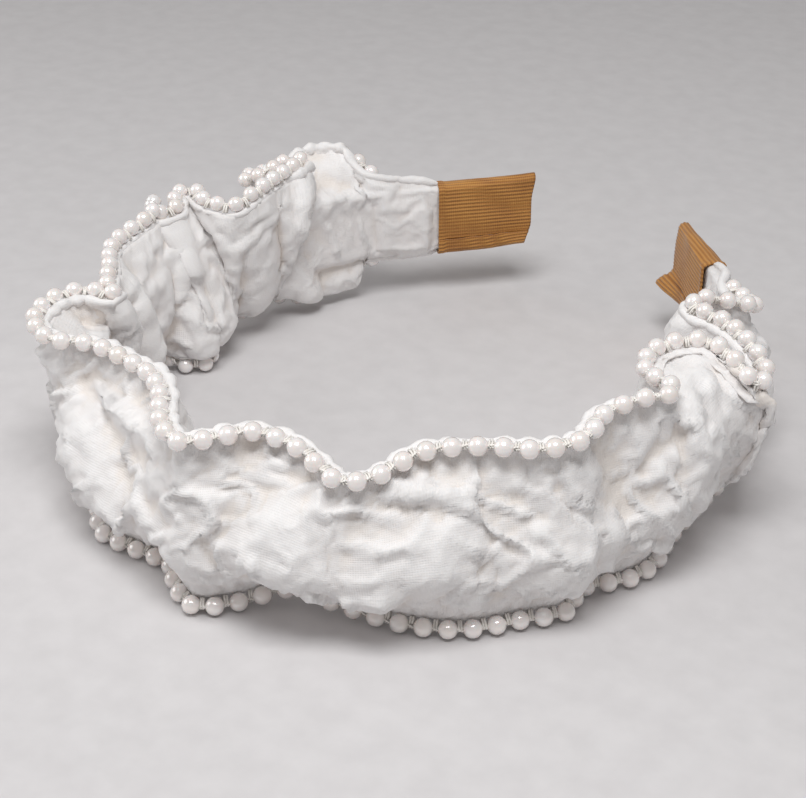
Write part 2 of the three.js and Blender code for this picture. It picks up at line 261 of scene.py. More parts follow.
# ---------------------------------------------------------------------------------------------
# The ruffle of the hems: along the band, out from its line, up from the table and roll, which is
# where the beads sit on the hem (0 outside, 90 on top, -90 underneath). Millimetres and degrees.
UPPER_RUFFLE = [
    (-168, 3, 35, 0), (-164, 10, 38, -20), (-157, 15, 37, -30), (-148, 13, 36, -30),
    (-140, 12, 37, -10), (-136, 7, 38, 30), (-140, 3, 41, 60), (-146, 6, 41, 70),
    (-149, 3, 42, 70), (-143, -1, 42, 70), (-130, -7, 42, 60), (-121, -7, 40, 50),
    (-119, 1, 40, 40), (-121, 7, 40, 30), (-117, 9, 40, 30), (-111, 3, 40, 40),
    (-106, 5, 40, 40), (-110, 9, 41, 60), (-104, 4, 41, 60), (-88, 4, 40, 50),
    (-77, 0, 40, 40), (-68, -2, 40, 40), (-63, -4, 40, 30), (-65, 2, 40, 20),
    (-62, 8, 40, 20), (-53, 12, 40, 20), (-44, 9, 40, 15), (-40, 2, 40, 15),
    (-34, -2, 40, 15), (-21, -5, 40, 10), (-12, -2, 40, 10), (-5, 4, 40, 10),
    (3, 8, 40, 10), (8, 3, 40, 10), (13, -2, 40, 10), (23, -1, 39, 10),
    (32, 4, 36, 10), (38, 2, 36, 10), (47, -2, 39, 10), (58, -1, 40, 10),
    (70, 4, 40, 10), (77, 5, 41, 10), (84, 1, 42, 20), (92, 2, 43, 30),
    (99, 5, 43, 50), (101, 1, 43, 80), (103, -5, 42, 110), (111, -9, 42, 130),
    (119, -7, 42, 130), (123, -1, 42, 130), (121, 5, 41, 110), (118, 12, 38, 70),
    (123, 12, 38, 40), (131, 5, 40, 40), (138, -2, 40, 40), (142, -8, 40, 40),
    (147, -8, 40, 40), (149, -2, 39, 40), (152, 4, 37, 30), (159, 4, 34, 0),
    (168, 1, 33, 0),
]
LOWER_RUFFLE = [
    (-168, 3, 10, -30), (-161, 6, 5, -40), (-150, 3, 3, -50), (-138, 7, 4, -30),
    (-130, 3, 4, -30), (-120, 4, 3, -40), (-114, -3, 2, -60), (-108, -8, 2, -70),
    (-103, -4, 2, -70), (-102, 3, 3, -50), (-95, 8, 4, -30), (-85, 4, 4, -20),
    (-72, 8, 4, -20), (-60, 7, 4, -20), (-48, 3, 3, -30), (-36, 4, 2, -30),
    (-27, 6, 2, -30), (-18, 3, 2, -30), (-9, 1, 2, -30), (-3, 5, 2, -30),
    (4, 8, 2, -30), (11, 2, 2, -40), (19, -3, 4, -50), (30, -2, 3, -50),
    (43, 2, 2, -40), (54, 5, 2, -30), (66, 5, 2, -30), (74, 6, 2, -30),
    (81, 1, 2, -30), (91, 4, 2, -30), (98, 4, 2, -30), (107, 1, 2, -40),
    (121, 1, 3, -40), (136, 4, 4, -30), (147, 6, 5, -20), (158, 8, 6, -20),
    (168, 3, 10, -30),
]
# plain ends of the hems, which run down the collars and in under the ribbons
UPPER_LEFT_END = [(-189, 3, 29.4, 0), (-186, 3, 30, 0), (-182, 3, 32, 5), (-175, 3, 33.4, 10)]
UPPER_RIGHT_END = [(175, 3, 33.2, 5), (182, 3, 32, 5), (186, 3, 30, 0), (189, 3, 29.4, 0)]
LOWER_LEFT_END = [(-189, 3, 13.7, 0), (-186, 3, 13, 0), (-182, 3, 11.2, -5), (-175, 3, 10, -20)]
LOWER_RIGHT_END = [(175, 3, 10, -20), (182, 3, 11.2, -5), (186, 3, 13, 0), (189, 3, 13.7, 0)]

BEAD_SIZE = 4.0
BEAD_PITCH = 4.9
HEM_TO_BEAD = 2.65
HEM_STEP = 0.3
RUFFLE_END = 168


def smooth_curve(points, per_span):
    """A centripetal Catmull-Rom curve through the points, and a straight run of each roll."""
    knots = np.array(points, float)
    spots = knots[:, :3]
    spots = np.vstack([2 * spots[0] - spots[1], spots, 2 * spots[-1] - spots[-2]])
    share = np.arange(per_span)[:, None] / per_span
    runs = []
    for i in range(1, len(spots) - 2):
        before, start, end, after = spots[i - 1 : i + 3]
        gaps = [np.linalg.norm(b - a) ** 0.5 for a, b in ((before, start), (start, end), (end, after))]
        lead = (start - before) / gaps[0] - (end - before) / (gaps[0] + gaps[1]) + (end - start) / gaps[1]
        tail = (end - start) / gaps[1] - (after - start) / (gaps[1] + gaps[2]) + (after - end) / gaps[2]
        lead, tail = lead * gaps[1], tail * gaps[1]
        runs.append(
            start + lead * share + (3 * (end - start) - 2 * lead - tail) * share**2
            + (2 * (start - end) + lead + tail) * share**3
        )
    runs.append(knots[-1:, :3])
    knot_number = np.arange((len(knots) - 1) * per_span + 1) / per_span
    roll = np.interp(knot_number, np.arange(len(knots)), knots[:, 3])
    return np.vstack(runs), roll


def lengths_along(points):
    return np.concatenate([[0], np.cumsum(np.linalg.norm(np.diff(points, axis=0), axis=1))])


def resample(values, at, wanted):
    values = np.asarray(values)
    if values.ndim == 1:
        return np.interp(wanted, at, values)
    return np.stack([np.interp(wanted, at, values[:, k]) for k in range(values.shape[1])], axis=1)


def unit(vectors):
    return vectors / np.maximum(np.linalg.norm(vectors, axis=-1, keepdims=True), 1e-9)


def hem_line(points, side):
    """The bead line in even steps, with the hem's edge beside it. Stand points from the edge to
    the bead, and rise is the way in which the cloth runs out at the edge."""
    spots, roll = smooth_curve(points, 24)
    beads = on_band(spots[:, 0], spots[:, 1], spots[:, 2])
    run = lengths_along(beads)
    even = np.linspace(0, run[-1], int(run[-1] / HEM_STEP) + 1)
    along, roll, beads = [resample(values, run, even) for values in (spots[:, 0], roll, beads)]
    roll = np.radians(roll)[:, None]
    way = np.gradient(beads, axis=0)
    outwards = unit(np.stack([way[:, 1], -way[:, 0], 0 * way[:, 0]], axis=1))
    upwards = np.array([[0, 0, 1.0]])
    stand = np.cos(roll) * outwards + np.sin(roll) * upwards
    rise = side * (np.cos(roll) * upwards - np.sin(roll) * outwards)
    return {
        "run": even, "along": along, "bead": beads, "stand": stand, "rise": rise,
        "edge": beads - HEM_TO_BEAD * stand, "roll": np.degrees(roll[:, 0]),
        "first": even[np.argmax(along >= -RUFFLE_END)],
        "last": even[-1 - np.argmax(along[::-1] <= RUFFLE_END)],
    }


def even_out(values, step, reach):
    """The mean of the values within reach on both sides, by length along the hem."""
    total = np.concatenate([[0], np.cumsum(values)])
    count = len(values)
    low = np.maximum(np.arange(count) - int(reach / step), 0)
    high = np.minimum(np.arange(count) + int(reach / step) + 1, count)
    return (total[high] - total[low]) / (high - low)


upper_hem = hem_line(UPPER_LEFT_END + UPPER_RUFFLE + UPPER_RIGHT_END, 1)
lower_hem = hem_line(LOWER_LEFT_END + LOWER_RUFFLE + LOWER_RIGHT_END, -1)
GATHER_REACH = 12
for hem in (upper_hem, lower_hem):
    step = hem["run"][1]
    calm = np.maximum.accumulate(even_out(hem["along"], step, GATHER_REACH))
    hem["calm"] = calm + np.arange(len(calm)) * 1e-6

# ---------------------------------------------------------------------------------------------
# Casing, outer panel: crinkled white cotton, cut longer than the band and gathered on it, bellied
# out below. Its hems are rolled over the lining's edges and pinched at every stitch of the beads.
COLLAR_FROM = 167
COLLAR_BLEND = 14
COLUMN_STEP = 0.9

calm_low = max(upper_hem["calm"][0], lower_hem["calm"][0])
calm_high = min(upper_hem["calm"][-1], lower_hem["calm"][-1])
calm_fine = np.linspace(calm_low, calm_high, 4001)
upper_run = np.interp(calm_fine, upper_hem["calm"], upper_hem["run"])
lower_run = np.interp(calm_fine, lower_hem["calm"], lower_hem["run"])
mean_run = (upper_run + lower_run) / 2
columns = int((mean_run[-1] - mean_run[0]) / COLUMN_STEP)
column_run = np.linspace(mean_run[0], mean_run[-1], columns + 1)
column_calm = np.interp(column_run, mean_run, calm_fine)
column_upper = np.interp(column_run, mean_run, upper_run)
column_lower = np.interp(column_run, mean_run, lower_run)


def hem_at(hem, run):
    names = ("along", "edge", "stand", "rise", "roll")
    picked = {name: resample(hem[name], hem["run"], run) for name in names}
    picked["stand"], picked["rise"] = unit(picked["stand"]), unit(picked["rise"])
    pitch = (hem["last"] - hem["first"]) / round((hem["last"] - hem["first"]) / BEAD_PITCH)
    picked["bead_number"] = (run - hem["first"]) / pitch
    return picked


top = hem_at(upper_hem, column_upper)
base = hem_at(lower_hem, column_lower)


def smoothstep(value, low, high):
    share = np.clip((value - low) / (high - low), 0, 1)
    return share * share * (3 - 2 * share)


fullness = 1 - smoothstep(np.abs(column_calm), COLLAR_FROM - COLLAR_BLEND, COLLAR_FROM)


def wave(at, seed, length):
    """A slow random swell between about -1 and 1."""
    return np.array([2 * noise.noise(Vector((value / length, seed, 0.5))) for value in at])


def panel_rows(heights, bulge, level, belly, fade, spill, hang):
    """Rows of points from the lower hem to the upper one. Heights run from 0 to 1, bulge is how far
    each stands out as a share of the belly, and level is its height as a share of the panel's.
    Folds of a hem fade towards the other hem, the faster the larger fade is. Where the lower hem
    is tucked in under the band, the belly hangs out over it by the share spill of the tuck, and
    hang is how far the cloth drops below its lower hem."""
    turned = heading(column_calm)
    tucked = (base["edge"] - on_band(column_calm, 0, CENTRE_HEIGHT))
    tuck = np.clip(tucked[:, 1] * np.cos(turned) - tucked[:, 0] * np.sin(turned), 0, 8)
    rows = []
    for number, (height, stand_out, raised) in enumerate(zip(heights, bulge, level)):
        swell = spill * tuck * smoothstep(height, 0, 0.13) * (1 - smoothstep(height, 0.3, 0.85))
        up_low = base["edge"][:, 2] + CENTRE_HEIGHT
        up_high = top["edge"][:, 2] + CENTRE_HEIGHT
        up = up_low + (up_high - up_low) * raised - 0.3 * swell
        up = up - hang * smoothstep(height, 0, 0.12) * (1 - smoothstep(height, 0.2, 0.65))
        row = on_band(column_calm, belly[number] * stand_out + swell, up)
        for hem, share in ((top, height), (base, 1 - height)):
            moved = hem["edge"] - on_band(column_calm, 0, hem["edge"][:, 2] + CENTRE_HEIGHT)
            moved[:, 2] = 0
            row += moved * np.clip((share - 0.12) / 0.88, 0, 1) ** fade
        rows.append(row)
    return np.array(rows)


def sheet_from(name, grid, across, along_run):
    """A mesh of the grid's rows and columns, with a UV map in centimetres of cloth."""
    rows, cols = grid.shape[:2]
    mesh = bpy.data.meshes.new(name)
    index = np.arange(rows * cols).reshape(rows, cols)
    faces = np.stack(
        [index[:-1, :-1], index[:-1, 1:], index[1:, 1:], index[1:, :-1]], axis=-1
    ).reshape(-1, 4)
    mesh.from_pydata(in_frame(grid.reshape(-1, 3)).tolist(), [], faces.tolist())
    layer = mesh.uv_layers.new(name="cloth")
    uv = np.stack(np.broadcast_arrays(along_run[None, :], across[:, None]), axis=-1).reshape(-1, 2) / 10
    layer.data.foreach_set("uv", uv[faces.reshape(-1)].ravel())
    mesh.polygons.foreach_set("use_smooth", [True] * len(mesh.polygons))
    mesh.update()
    made = bpy.data.objects.new(name, mesh)
    bpy.context.scene.collection.objects.link(made)
    return made


OUTER_ROWS = 46
FLAT_CLOTH = 1.6
OUTER_BELLY = 5.6
COLLAR_SWELL = 2.0
heights = np.linspace(0, 1, OUTER_ROWS)
knots = [0, 0.08, 0.17, 0.28, 0.45, 0.65, 0.85, 1]
outer_bulge = np.interp(heights, knots, [0.05, 0.36, 0.68, 0.92, 1.0, 0.74, 0.36, 0.12])
outer_level = np.interp(heights, knots, [0, 0.10, 0.17, 0.26, 0.42, 0.63, 0.85, 1])
collar = smoothstep(np.abs(column_calm), 164, 173) * (1 - smoothstep(np.abs(column_calm), 179.3, 182.2))
belly = FLAT_CLOTH + fullness * (OUTER_BELLY + 1.6 * wave(column_calm, 3.1, 21))
belly += COLLAR_SWELL * collar * (1 + 0.5 * wave(column_calm, 5.5, 4))
outer = panel_rows(heights, outer_bulge, outer_level, np.tile(belly, (OUTER_ROWS, 1)), 1.5, 0.75, 0)
# where the upper hem is turned over with its beads on the inner side, the cloth domes up to it
DOME_OUT = 7
DOME_UP = 3.5
turned = heading(column_calm)
dome = smoothstep(top["roll"], 60, 110)
arch = np.sin(math.pi * np.clip((heights - 0.3) / 0.7, 0, 1) ** 1.5)
dome_way = np.stack(
    [DOME_OUT * np.sin(turned), -DOME_OUT * np.cos(turned), DOME_UP + 0 * turned], axis=-1
)
outer = outer + (arch[:, None] * dome)[..., None] * dome_way

# rolled hems: a puffed roll round the hem's edge, pinched in every gap between beads by the
# stitches, small where the beads lie on top of it, and large on the tall lobe near the left end
ROLL_TURNS = np.radians([-35, -5, 25, 55, 85, 115, 145, 175, 205, 235])
LOBE_FROM = -169
LOBE_TO = -146
LOBE_RISE = 1.6
PLAIN_ROLL = 0.95


def lobe_at(hem):
    """1 on the tall lobe of the upper hem near the left end, 0 off it."""
    grown = smoothstep(hem["along"], LOBE_FROM, LOBE_FROM + 4)
    return grown * (1 - smoothstep(hem["along"], LOBE_TO, LOBE_TO + 5))


def hem_roll(hem, lobed):
    """Rows of points round the roll of a hem, from the outer panel over the top and down over the
    lining's edge. Puff is 0 at a stitch and 1 beside a bead, on_top is 1 where beads lie on it."""
    puff = np.abs(np.cos(math.pi * hem["bead_number"])) ** 0.7
    puff *= 1 + 0.7 * wave(hem["bead_number"], 8.8 + lobed, 1.7)
    beaded = np.clip((RUFFLE_END - np.abs(hem["along"])) / 3, 0, 1)
    on_top = smoothstep(np.abs(hem["roll"]), 25, 55)
    lobe = lobed * lobe_at(hem)
    puffed = 0.5 - 0.35 * on_top + 0.5 * lobe
    radius = PLAIN_ROLL - beaded * (0.25 + 0.15 * on_top) + beaded * puffed * puff
    radius = radius[:, None]
    centre = hem["edge"] + hem["rise"] * (beaded * (LOBE_RISE * lobe - 0.2 - 0.2 * on_top))[:, None]
    centre = centre - hem["stand"] * (0.35 * beaded * puff * (1 - on_top))[:, None]
    rows = [
        centre + radius * (math.cos(turn) * hem["stand"] + math.sin(turn) * hem["rise"])
        for turn in ROLL_TURNS
    ]
    lower = hem["edge"] + hem["rise"] * (LOBE_RISE * lobe * beaded)[:, None]
    rows.append(lower - 0.85 * hem["stand"] - 1.6 * hem["rise"])
    rows.append(lower - 0.75 * hem["stand"] - 2.6 * hem["rise"])
    return np.array(rows)


top_roll = hem_roll(top, 1)
base_roll = hem_roll(base, 0)
join_top = smoothstep(heights, 0.72, 1)[:, None, None] * (top_roll[0] - outer[-1])
join_base = (1 - smoothstep(heights, 0, 0.2))[:, None, None] * (base_roll[0] - outer[0])
outer = outer + join_top + join_base
outer_grid = np.vstack([base_roll[::-1], outer[1:-1], top_roll])
across = lengths_along(outer_grid[:, columns // 2])


def crumple(points, seed, amounts):
    """Sideways shifts for points in millimetres: a slow swell, crooked ridges that come and go,
    shallow hollows, and small creases, by these four amounts."""
    shifts = []
    for x, y, z in points:
        lean = 7 * noise.noise(Vector((x / 24, y / 24, z / 18 - seed)))
        slow = noise.noise(Vector((x / 17, y / 17, z / 14 + seed)))
        line = noise.noise(Vector(((x + lean) / 8, (y + lean) / 8 + z / 15, z / 12 - seed)))
        come_and_go = min(max(0.5 + 2.2 * noise.noise(Vector((x / 9 + seed, y / 9, z / 7))), 0), 1)
        ridge = math.exp(-((line / 0.12) ** 2)) * come_and_go
        hollow = abs(noise.noise(Vector(((x - lean) / 11, (y - lean) / 11 - z / 14, z / 10 + seed)))) - 0.3
        crease = 0.3 - abs(noise.noise(Vector((x / 3.2 + lean, y / 3.2 + seed, z / 4.0 - x / 8))))
        shifts.append(amounts[0] * slow + amounts[1] * ridge + amounts[2] * hollow + amounts[3] * crease)
    return np.array(shifts)


def normals_of(grid):
    return unit(np.cross(np.gradient(grid, axis=1), np.gradient(grid, axis=0)))


SLEEVE_FROM = 185
SLEEVE_ROOM = 2.3
SLEEVE_HALF_HEIGHT = 9.3
CORE_CLEARANCE = 1.7


def off_core(grid, side):
    """Moves cloth that would lie in the plastic band out to its face, round its edges, and presses
    it flat where it lies inside a ribbon."""
    spots = grid.reshape(-1, 3)
    line = np.stack([line_x, line_y], axis=1)
    nearest = np.concatenate([
        np.argmin(((some[:, None, :2] - line[None]) ** 2).sum(-1), axis=1)
        for some in np.array_split(spots, 60)
    ])
    turned = heading(line_along[nearest])
    outwards = np.stack([np.sin(turned), -np.cos(turned)], axis=1)
    out = ((spots[:, :2] - line[nearest]) * outwards).sum(1)
    over = np.abs(spots[:, 2]) - core_half_height(line_along[nearest])
    wanted = CORE_CLEARANCE * (1 - smoothstep(over, 0.0, 2.6)) - 12 * smoothstep(over, 0.6, 3.0)
    under_ribbon = smoothstep(np.abs(line_along[nearest]), SLEEVE_FROM - 1.2, SLEEVE_FROM + 0.3)
    most = 20 - (20 - SLEEVE_ROOM) * under_ribbon
    shift = np.maximum(wanted - side * out, 0) - np.maximum(side * out - most, 0)
    spots = spots.copy()
    spots[:, :2] += side * shift[:, None] * outwards
    tallest = 30 - (30 - SLEEVE_HALF_HEIGHT) * under_ribbon
    spots[:, 2] = np.clip(spots[:, 2], -tallest, tallest)
    return spots.reshape(grid.shape)


SIMULATION_SCALE = 20
SPARE_CLOTH = 0.07
SETTLING_FRAMES = 14


def gather(grid, loose, farthest):
    """Lets a panel of cloth buckle between the places where it is held, as cloth does that is
    longer and wider than the room it has. Loose is 0 where it is stitched and 1 where it is free,
    and no point moves farther than the last value."""
    held = np.where(loose < 0.02, 1.0, np.round(0.06 + 0.2 * (1 - loose), 2))
    trial = sheet_from("trial", grid, np.arange(len(grid)) * 1.0, np.arange(grid.shape[1]) * 1.0)
    spots = grid.reshape(-1, 3) * MM * SIMULATION_SCALE
    trial.data.vertices.foreach_set("co", spots.astype(np.float32).ravel())
    group = trial.vertex_groups.new(name="stitched")
    for weight in np.unique(held):
        group.add(np.flatnonzero(held.ravel() == weight).tolist(), float(weight), "REPLACE")
    cloth = trial.modifiers.new("cloth", "CLOTH")
    settings = cloth.settings
    settings.quality = 5
    settings.mass = 0.3
    settings.tension_stiffness = settings.compression_stiffness = 15
    settings.shear_stiffness = 8
    settings.bending_stiffness = 0.15
    settings.air_damping = 2
    settings.vertex_group_mass = "stitched"
    settings.pin_stiffness = 1
    settings.shrink_min = settings.shrink_max = -SPARE_CLOTH
    settings.effector_weights.gravity = 0
    cloth.collision_settings.use_collision = False
    cloth.collision_settings.use_self_collision = False
    cloth.point_cache.frame_start, cloth.point_cache.frame_end = 1, SETTLING_FRAMES
    for frame_number in range(1, SETTLING_FRAMES + 1):
        bpy.context.scene.frame_set(frame_number)
    settled = trial.evaluated_get(bpy.context.evaluated_depsgraph_get())
    moved = np.zeros(len(trial.data.vertices) * 3, np.float32)
    settled.data.vertices.foreach_get("co", moved)
    moved = moved.reshape(grid.shape).astype(float) / MM / SIMULATION_SCALE
    bpy.data.objects.remove(trial)
    bpy.context.scene.frame_set(1)
    shift = moved - grid
    size = np.linalg.norm(shift, axis=-1, keepdims=True)
    return grid + shift * np.minimum(1, farthest / np.maximum(size, 1e-9))


rows = len(outer_grid)
row_number = np.arange(rows)
from_hem = np.minimum(row_number - (len(base_roll) - 1), rows - len(top_roll) - row_number)
sleeved = smoothstep(np.abs(column_calm), 180, 185)
loose = smoothstep(from_hem, 0, 9)[:, None] * ((0.45 + 0.55 * fullness) * (1 - sleeved))[None, :]
outer_grid = off_core(outer_grid, 1)
rough = crumple(outer_grid.reshape(-1, 3), 4.2, (1.4, 1.5, 1.1, 0.5)).reshape(rows, -1)
outer_grid = outer_grid + normals_of(outer_grid) * (rough * loose)[..., None]
outer_grid = gather(outer_grid, loose, 2.4)
fine = crumple(outer_grid.reshape(-1, 3), 15.0, (0.0, 0.9, 0.5, 0.6)).reshape(rows, -1)
frayed = crumple(outer_grid.reshape(-1, 3) * 2.2, 33.0, (0.4, 0.0, 0.0, 0.6)).reshape(rows, -1)
frayed *= (from_hem[:, None] < 0) * (1 - sleeved)[None, :]
outer_grid = outer_grid + normals_of(outer_grid) * (fine * loose + frayed)[..., None]
outer_grid = off_core(outer_grid, 1)
outer_panel = sheet_from("casing_outer", outer_grid, across, column_run)


def mark_hollows_for_shade(cloth, grid):
    """Stores how deep each point lies behind the cloth around it: 0 on a ridge, 1 in a hollow. The cotton's
    base colour uses it to paint warm shade into the hollows.
    """
    around = grid.copy()
    for _ in range(24):
        beside = around[:-2, 1:-1] + around[2:, 1:-1] + around[1:-1, :-2] + around[1:-1, 2:]
        around[1:-1, 1:-1] = beside / 4
    depth = ((around - grid) * normals_of(around)).sum(-1)
    hollow_shade_mask = cloth.data.attributes.new("hollow_shade_mask", "FLOAT", "POINT")
    hollow_shade_mask.data.foreach_set("value", np.clip(0.5 + 0.6 * depth, 0, 1).astype(np.float32).ravel())


COTTON_THICKNESS = 0.35


def thicken(cloth):
    """Gives the sheet the thickness of the cotton, on its hidden side."""
    bpy.ops.object.select_all(action="DESELECT")
    bpy.context.view_layer.objects.active = cloth
    wall = cloth.modifiers.new("wall", "SOLIDIFY")
    wall.thickness = COTTON_THICKNESS * MM
    bpy.ops.object.modifier_apply(modifier="wall")


mark_hollows_for_shade(outer_panel, outer_grid)
thicken(outer_panel)

cotton, shade, shader = new_finish(
    "crinkled_cotton",
    {"Roughness": 0.6, "Sheen Weight": 0.2, "Sheen Roughness": 0.45, "Subsurface Weight": 0.12,
     "Subsurface Radius": (0.8, 0.6, 0.5), "Subsurface Scale": 0.003},
)
place = shade.node("ShaderNodeTexCoord", {}, {}, "Object")
cloth_way = shade.node("ShaderNodeUVMap", {"uv_map": "cloth"}, {})
across_way = shade.node("ShaderNodeSeparateXYZ", {}, {"Vector": cloth_way}, "X")
down_way = shade.node("ShaderNodeSeparateXYZ", {}, {"Vector": cloth_way}, "Y")
THREAD_PITCH_CM = 0.045
THREADS = 2 * math.pi / THREAD_PITCH_CM
uneven = shade.node("ShaderNodeTexNoise", {}, {"Vector": place, "Scale": 260.0, "Detail": 2.0})
warp = shade.node("ShaderNodeMath", {"operation": "SINE"}, {0: across_way * THREADS + uneven * 4.0})
weft = shade.node("ShaderNodeMath", {"operation": "SINE"}, {0: down_way * THREADS + uneven * 3.0})
weave = (warp + weft) * 0.25 + 0.5
creases = shade.node(
    "ShaderNodeTexNoise", {"noise_type": "RIDGED_MULTIFRACTAL"},
    {"Vector": place, "Scale": 240.0, "Detail": 3.0, "Roughness": 0.5, "Distortion": 0.6},
)
slub = shade.node("ShaderNodeTexNoise", {}, {"Vector": place, "Scale": 1500.0, "Detail": 2.0})
folds = shade.node(
    "ShaderNodeTexNoise", {"noise_type": "RIDGED_MULTIFRACTAL"},
    {"Vector": place, "Scale": 105.0, "Detail": 2.0, "Roughness": 0.45, "Distortion": 1.1},
)
relief = folds * 0.6 + creases * 0.42 + weave * 0.06 + slub * 0.10
bumped = shade.node("ShaderNodeBump", {}, {"Strength": 0.8, "Distance": 0.0009, "Height": relief})
feed(shader, "Normal", bumped)
# hollow depth of the cloth, which paints shade into the hollows of the folds
hollow_shade_mask = shade.node("ShaderNodeAttribute", {"attribute_name": "hollow_shade_mask"}, {}, "Fac")
patches = shade.node("ShaderNodeTexNoise", {}, {"Vector": place, "Scale": 55.0, "Detail": 2.0})
# Base colour: random pale patches of tone, and painted warm shade that darkens and yellows the cloth in the
# hollows of its folds
tone_and_hollow_shade = shade.node(
    "ShaderNodeValToRGB",
    {"stops": [(0.2, (0.87, 0.845, 0.835)), (0.6, (0.85, 0.815, 0.80)), (1.0, (0.82, 0.75, 0.69))]},
    {"Fac": hollow_shade_mask * 0.8 + patches * 0.2},
)
feed(shader, "Base Color", tone_and_hollow_shade)
feed(shader, "Roughness", 0.55 + weave * 0.12)
outer_panel.data.materials.append(cotton)
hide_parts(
    "outer_panel_left", "outer_panel_right", "upper_frill_left", "upper_frill_right",
    "lower_frill_left", "lower_frill_right",
)
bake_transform(outer_panel)

# ---------------------------------------------------------------------------------------------
# Casing, lining side: the same cotton on the side towards the head, its edges caught in the rolled
# hems. It is gathered tighter than the outer panel, so it stands in upright puffs between the places
# where it lies against the band, which are told in millimetres along the band.
LINING_ROWS = 40
PUFF_DEPTH = 5.0
heights = np.linspace(0, 1, LINING_ROWS)
VALLEYS = np.array([
    -190, -167, -151, -136, -124, -111, -101, -87, -75, -61, -48, -34, -21, -8, 5, 18, 30, 43, 55, 68,
    80, 92, 104, 114, 126, 138, 152, 167, 190,
])
puff_heights = 1 + 0.5 * wave(VALLEYS, 7.7, 9)
lobed = 1 - smoothstep(np.abs(column_calm), COLLAR_FROM - 3, COLLAR_FROM + 1)
slant = 6 * wave(column_calm, 2.2, 34)
lining_belly = []
for height in heights:
    at = column_calm + slant * (height - 0.5)
    number = np.clip(np.searchsorted(VALLEYS, at) - 1, 0, len(VALLEYS) - 2)
    across_puff = np.clip((at - VALLEYS[number]) / (VALLEYS[number + 1] - VALLEYS[number]), 0, 1)
    gathers = puff_heights[number] * np.sin(math.pi * across_puff) ** 0.55
    up_to_lobe = 1 + 1.2 * lobe_at(top) * smoothstep(height, 0.5, 0.9)
    puffed = up_to_lobe * (0.7 + PUFF_DEPTH * gathers)
    lining_belly.append(-(FLAT_CLOTH + 1.8 * collar + lobed * puffed))
knots = [0, 0.1, 0.25, 0.45, 0.7, 0.9, 1]
lining_bulge = np.interp(heights, knots, [0.05, 0.62, 0.96, 1.0, 0.84, 0.45, 0.1])
lining_level = np.interp(heights, knots, [0, 0.05, 0.17, 0.39, 0.67, 0.90, 1])
low_hem_up = base["edge"][:, 2] + CENTRE_HEIGHT
lining_hang = np.clip(low_hem_up - 1.6, 0, 8) * smoothstep(column_calm, -174, -160)
lining_hang *= 1 - 0.75 * smoothstep(column_calm, -150, -142)
lining = panel_rows(heights, lining_bulge, lining_level, lining_belly, 1.2, 0, lining_hang * lobed)
lining_top = top["edge"] - 0.3 * top["stand"] + (0.2 + LOBE_RISE * lobe_at(top))[:, None] * top["rise"]
lining_base = base["edge"] - 0.3 * base["stand"] + 0.2 * base["rise"]
lining = lining + smoothstep(heights, 0.75, 1)[:, None, None] * (lining_top - lining[-1])
lining = lining + (1 - smoothstep(heights, 0, 0.25))[:, None, None] * (lining_base - lining[0])
lining_grid = off_core(lining[::-1], -1)
across = lengths_along(lining_grid[:, columns // 2])
row_number = np.arange(LINING_ROWS)
from_hem = np.minimum(row_number, LINING_ROWS - 1 - row_number)
loose = smoothstep(from_hem, 1, 9)[:, None] * ((0.3 + 0.7 * lobed) * (1 - sleeved))[None, :]
rough = crumple(lining_grid.reshape(-1, 3), 9.1, (0.9, 0.8, 0.9, 0.4)).reshape(LINING_ROWS, -1)
lining_grid = lining_grid + normals_of(lining_grid) * (rough * loose)[..., None]
lining_grid = gather(lining_grid, loose, 2.5)
fine = crumple(lining_grid.reshape(-1, 3), 21.0, (0.0, 0.6, 0.5, 0.5)).reshape(LINING_ROWS, -1)
lining_grid = lining_grid + normals_of(lining_grid) * (fine * loose)[..., None]
lining_grid = off_core(lining_grid, -1)
lining_panel = sheet_from("casing_lining", lining_grid, across, column_run)
mark_hollows_for_shade(lining_panel, lining_grid)
thicken(lining_panel)
lining_panel.data.materials.append(cotton)
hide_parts("lining_panel_left", "lining_panel_right")
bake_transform(lining_panel)

# ---------------------------------------------------------------------------------------------
# Pearls: moulded beads with a pearl lacquer, drilled through and sewn one beside the other to the
# outer side of each hem. One bead is a sphere, copied along the hem's line with its hole that way.
upper_beads = hem_line(UPPER_RUFFLE, 1)
lower_beads = hem_line(LOWER_RUFFLE, -1)

bpy.ops.object.select_all(action="DESELECT")
bpy.ops.mesh.primitive_uv_sphere_add(segments=12, ring_count=8, radius=BEAD_SIZE / 2 * MM)
pearl = bpy.context.object
pearl_spots = np.array([v.co for v in pearl.data.vertices]) / MM
pearl_faces = [list(p.vertices) for p in pearl.data.polygons]
bpy.data.objects.remove(pearl)

pearl_finish, shade, shader = new_finish(
    "pearl_lacquer",
    {"Coat Weight": 1.0, "Coat Roughness": 0.06, "Coat IOR": 2.4, "Specular IOR Level": 0.9,
     "Subsurface Weight": 0.25, "Subsurface Radius": (1.0, 0.7, 0.6), "Subsurface Scale": 0.002},
)
place = shade.node("ShaderNodeTexCoord", {}, {}, "Object")
batch = shade.node("ShaderNodeTexNoise", {}, {"Vector": place, "Scale": 150.0, "Detail": 1.0})
lustre = shade.node(
    "ShaderNodeValToRGB",
    {"stops": [(0.3, (0.90, 0.83, 0.79)), (0.7, (0.94, 0.89, 0.88))]},
    {"Fac": batch},
)
feed(shader, "Base Color", lustre)
feed(shader, "Roughness", 0.2 + batch * 0.12)


